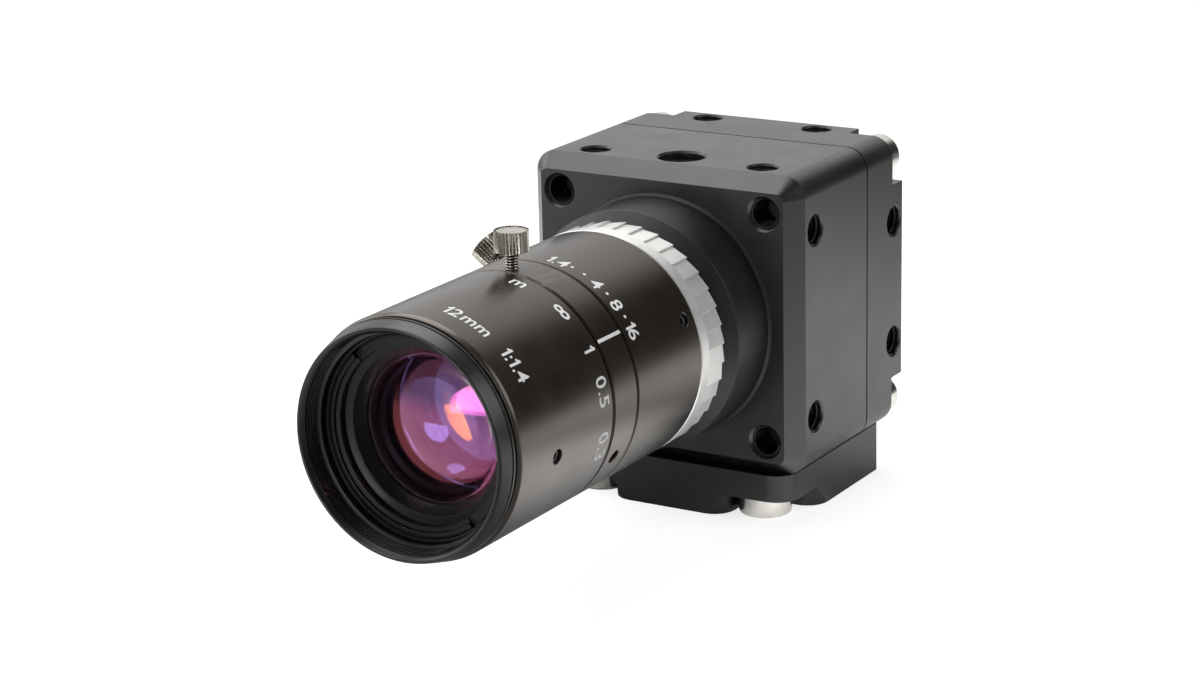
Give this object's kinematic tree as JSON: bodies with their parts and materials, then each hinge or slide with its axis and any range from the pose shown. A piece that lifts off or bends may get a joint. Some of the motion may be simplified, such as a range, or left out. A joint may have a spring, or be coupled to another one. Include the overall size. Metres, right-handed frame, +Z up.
{
  "type": "machine vision camera",
  "caption": "Compact cube-shaped industrial camera with a mounting base and a manual lens whose focus and iris rings turn and lock with thumbscrews.",
  "frame": {"origin": "on the optical axis, in the plane of the housing's front face", "axes": "+Z up; +Y from the lens towards the rear cover, along the optical axis; +X to the right seen from behind the camera"},
  "size_m": [0.04, 0.0993, 0.0467],
  "materials": {
    "housing_black": "matte black anodised",
    "cover_black": "matte black anodised",
    "base_black": "matte black anodised",
    "mount_black": "satin black anodised",
    "lens_black": "satin black anodised",
    "barrel_black": "matte black anodised",
    "ring_silver": "bright turned",
    "screw_nickel": "bright nickel plated",
    "thumbscrew_nickel": "bright nickel plated",
    "grub_steel": "satin",
    "blade_steel": "blackened",
    "gasket_rubber": "matte",
    "coated_glass": "anti-reflection coated",
    "filter_glass": "polished",
    "board_green": "solder mask",
    "chip_black": "moulded",
    "spacer_brass": "plated",
    "socket_nickel": "nickel plated",
    "nut_steel": "nickel plated",
    "lamp_lens": "clear lens"
  },
  "bodies": {
    "camera": {"front_housing": "housing_black", "housing_gasket": "gasket_rubber", "rear_cover": "cover_black", "rear_cover_screws": "screw_nickel", "mount_base": "base_black", "base_screws_front": "screw_nickel", "base_screws_rear": "screw_nickel", "lens_mount": "mount_black", "ir_filter": "filter_glass", "filter_retaining_ring": "barrel_black", "sensor_dust_seal": "gasket_rubber", "sensor_cover_glass": "filter_glass", "image_sensor": "chip_black", "sensor_board": "board_green", "main_board": "board_green", "interface_board": "board_green", "board_spacers_front": "spacer_brass", "board_spacers_rear": "spacer_brass", "board_screws": "grub_steel", "board_connectors": "chip_black", "processor_chip": "chip_black", "cable_socket": "socket_nickel", "socket_insert": "chip_black", "socket_contacts": "spacer_brass", "socket_nut": "nut_steel", "status_led": "lamp_lens", "mount_ring": "ring_silver", "lens_barrel": "barrel_black", "focus_guide_pin": "grub_steel", "index_ring": "lens_black", "index_grub_screws": "grub_steel", "iris_base_plate": "barrel_black", "iris_keeper_ring": "barrel_black", "rear_cell": "barrel_black", "rear_lens_front": "coated_glass", "rear_lens_back": "coated_glass", "rear_retaining_ring": "barrel_black"},
    "focus": {"focus_ring": "lens_black", "focus_grub_screws": "grub_steel", "front_rim": "lens_black"},
    "front_group": {"lens_cell": "barrel_black", "front_retaining_ring": "barrel_black", "front_baffle": "barrel_black", "front_lens": "coated_glass", "lens_spacer": "barrel_black", "second_lens": "coated_glass", "third_lens": "coated_glass"},
    "iris": {"iris_ring": "lens_black", "iris_grub_screws": "grub_steel", "iris_drive_pin": "grub_steel", "iris_cam_ring": "barrel_black"},
    "focus_lock": {"focus_lock_screw": "thumbscrew_nickel"},
    "iris_lock": {"iris_lock_screw": "thumbscrew_nickel"},
    "blade_1": {"iris_blade_1": "blade_steel"},
    "blade_2": {"iris_blade_2": "blade_steel"},
    "blade_3": {"iris_blade_3": "blade_steel"},
    "blade_4": {"iris_blade_4": "blade_steel"},
    "blade_5": {"iris_blade_5": "blade_steel"},
    "blade_6": {"iris_blade_6": "blade_steel"}
  },
  "joints": [
    {"name": "focus_turn", "type": "hinge", "parent": "camera", "child": "focus", "pos_m": [0, -0.048, 0], "axis": [0, 1, 0], "range_deg": [-48, 20]},
    {"name": "front_group_slide", "type": "slide", "parent": "camera", "child": "front_group", "axis": [0, 1, 0], "range_m": [-0.00036, 0.00016]},
    {"name": "iris_turn", "type": "hinge", "parent": "camera", "child": "iris", "pos_m": [0, -0.0238, 0], "axis": [0, 1, 0], "range_deg": [0, 48]},
    {"name": "focus_lock_turn", "type": "hinge", "parent": "camera", "child": "focus_lock", "pos_m": [0, -0.0354, 0.017], "axis": [0, 0, 1], "range_deg": [0, 360]},
    {"name": "iris_lock_turn", "type": "hinge", "parent": "iris", "child": "iris_lock", "pos_m": [-0.0134, -0.0179, 0.01047], "axis": [-0.788, 0, 0.6157], "range_deg": [0, 360]},
    {"name": "blade_1_turn", "type": "hinge", "parent": "camera", "child": "blade_1", "pos_m": [0, -0.0285, 0.0087], "axis": [0, 1, 0], "range_deg": [-28.5, 0.5]},
    {"name": "blade_2_turn", "type": "hinge", "parent": "camera", "child": "blade_2", "pos_m": [0.00753, -0.0285, 0.00435], "axis": [0, 1, 0], "range_deg": [-28.5, 0.5]},
    {"name": "blade_3_turn", "type": "hinge", "parent": "camera", "child": "blade_3", "pos_m": [0.00753, -0.0285, -0.00435], "axis": [0, 1, 0], "range_deg": [-28.5, 0.5]},
    {"name": "blade_4_turn", "type": "hinge", "parent": "camera", "child": "blade_4", "pos_m": [0, -0.0285, -0.0087], "axis": [0, 1, 0], "range_deg": [-28.5, 0.5]},
    {"name": "blade_5_turn", "type": "hinge", "parent": "camera", "child": "blade_5", "pos_m": [-0.00753, -0.0285, -0.00435], "axis": [0, 1, 0], "range_deg": [-28.5, 0.5]},
    {"name": "blade_6_turn", "type": "hinge", "parent": "camera", "child": "blade_6", "pos_m": [-0.00753, -0.0285, 0.00435], "axis": [0, 1, 0], "range_deg": [-28.5, 0.5]}
  ],
  "couplings": [
    {"joint": "front_group_slide", "follows": "focus_turn", "m_per_rad": 0.000422},
    {"joint": "blade_1_turn", "follows": "iris_turn", "ratio": -0.58125},
    {"joint": "blade_2_turn", "follows": "iris_turn", "ratio": -0.58125},
    {"joint": "blade_3_turn", "follows": "iris_turn", "ratio": -0.58125},
    {"joint": "blade_4_turn", "follows": "iris_turn", "ratio": -0.58125},
    {"joint": "blade_5_turn", "follows": "iris_turn", "ratio": -0.58125},
    {"joint": "blade_6_turn", "follows": "iris_turn", "ratio": -0.58125}
  ]
}
